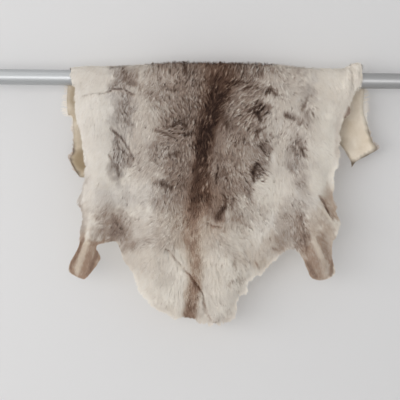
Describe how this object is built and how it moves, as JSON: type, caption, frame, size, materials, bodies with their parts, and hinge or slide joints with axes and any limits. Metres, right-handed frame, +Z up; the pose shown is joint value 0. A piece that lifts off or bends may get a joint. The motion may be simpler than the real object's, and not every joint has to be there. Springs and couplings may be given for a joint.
{
  "type": "reindeer hide hung over a rail",
  "caption": "Tanned reindeer hide with its hair on, hung over a round metal rail, rump and hind legs in front and shoulders behind.",
  "frame": {"origin": "the middle of the rail's left end face", "axes": "+X along the rail, +Z up; the hair side of the front drop faces -Y and the back drop hangs on the +Y side"},
  "size_m": [1.5, 0.1554, 0.8134],
  "materials": {
    "hide": "hair-on tanned hide, taupe and cream hair with a dark spine stripe, bare cream flesh side",
    "rail": "satin anodised"
  },
  "bodies": {
    "root": {"reindeer_hide": "hide", "rail": "rail"}
  },
  "joints": []
}
